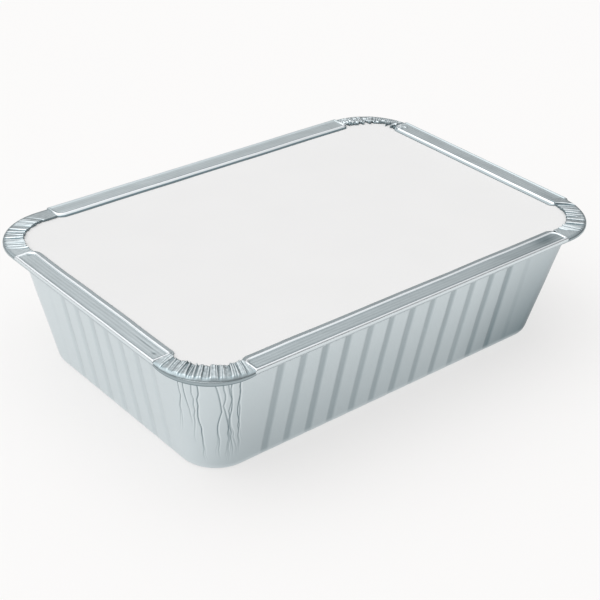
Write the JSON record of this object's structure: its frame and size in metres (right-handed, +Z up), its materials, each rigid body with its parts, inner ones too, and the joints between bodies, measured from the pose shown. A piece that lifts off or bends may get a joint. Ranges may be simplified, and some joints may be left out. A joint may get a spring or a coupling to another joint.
{
  "type": "foil food container",
  "caption": "Oblong foil takeaway tray with fluted leaning walls and a white board lid held down by the folded, corner-pleated rim.",
  "frame": {"origin": "centre of the tray's base, on the surface it stands on", "axes": "+Z up out of the tray, X along the long sides, Y along the short sides"},
  "size_m": [0.215, 0.1474, 0.0548],
  "materials": {
    "foil": "satin rolled foil",
    "board": "matt white board"
  },
  "bodies": {
    "root": {"foil_tray": "foil", "board_lid": "board"}
  },
  "joints": []
}
